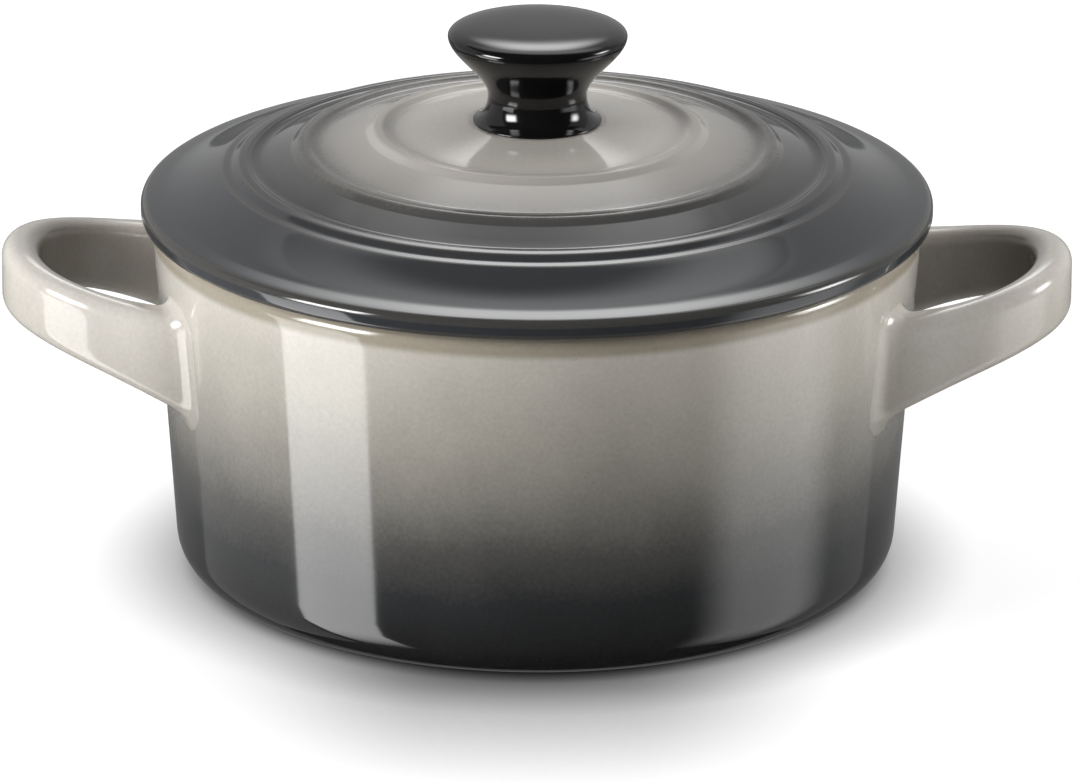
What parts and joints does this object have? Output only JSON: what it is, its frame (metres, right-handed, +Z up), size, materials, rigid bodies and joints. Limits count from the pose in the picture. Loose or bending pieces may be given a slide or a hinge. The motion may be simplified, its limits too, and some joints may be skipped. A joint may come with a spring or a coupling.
{
  "type": "lidded casserole dish",
  "caption": "Small round glazed stoneware casserole with loop handles and a stepped, ringed lid with a flared black knob, for baking and serving a single portion.",
  "frame": {"origin": "centre of the base, on the surface that the pot stands on", "axes": "+Z up along the axis of the pot, lid and knob; +X through the right handle; the front faces -Y"},
  "size_m": [0.1408, 0.104, 0.0741],
  "materials": {
    "pot_glaze": "gloss glaze that falls from warm grey at the lip to near black at the base",
    "lid_glaze": "gloss glaze that falls from warm grey at the crown to dark grey at the rim",
    "knob_resin": "polished black resin",
    "insert_brass": "turned",
    "fixing_steel": "turned stainless",
    "cushion_silicone": "matt"
  },
  "bodies": {
    "pot": {"pot_body": "pot_glaze", "left_handle": "pot_glaze", "right_handle": "pot_glaze"},
    "knob": {"lid_knob": "knob_resin", "knob_insert": "insert_brass", "knob_screw": "fixing_steel", "screw_washer": "fixing_steel", "cushion_washer": "cushion_silicone"},
    "lid": {"lid": "lid_glaze"}
  },
  "joints": [
    {"name": "lid_lift", "type": "slide", "parent": "pot", "child": "knob", "axis": [0, 0, 1], "range_m": [0, 0.08]},
    {"name": "lid_turn", "type": "hinge", "parent": "knob", "child": "lid", "pos_m": [0, 0, 0.048], "axis": [0, 0, 1], "continuous": true}
  ]
}
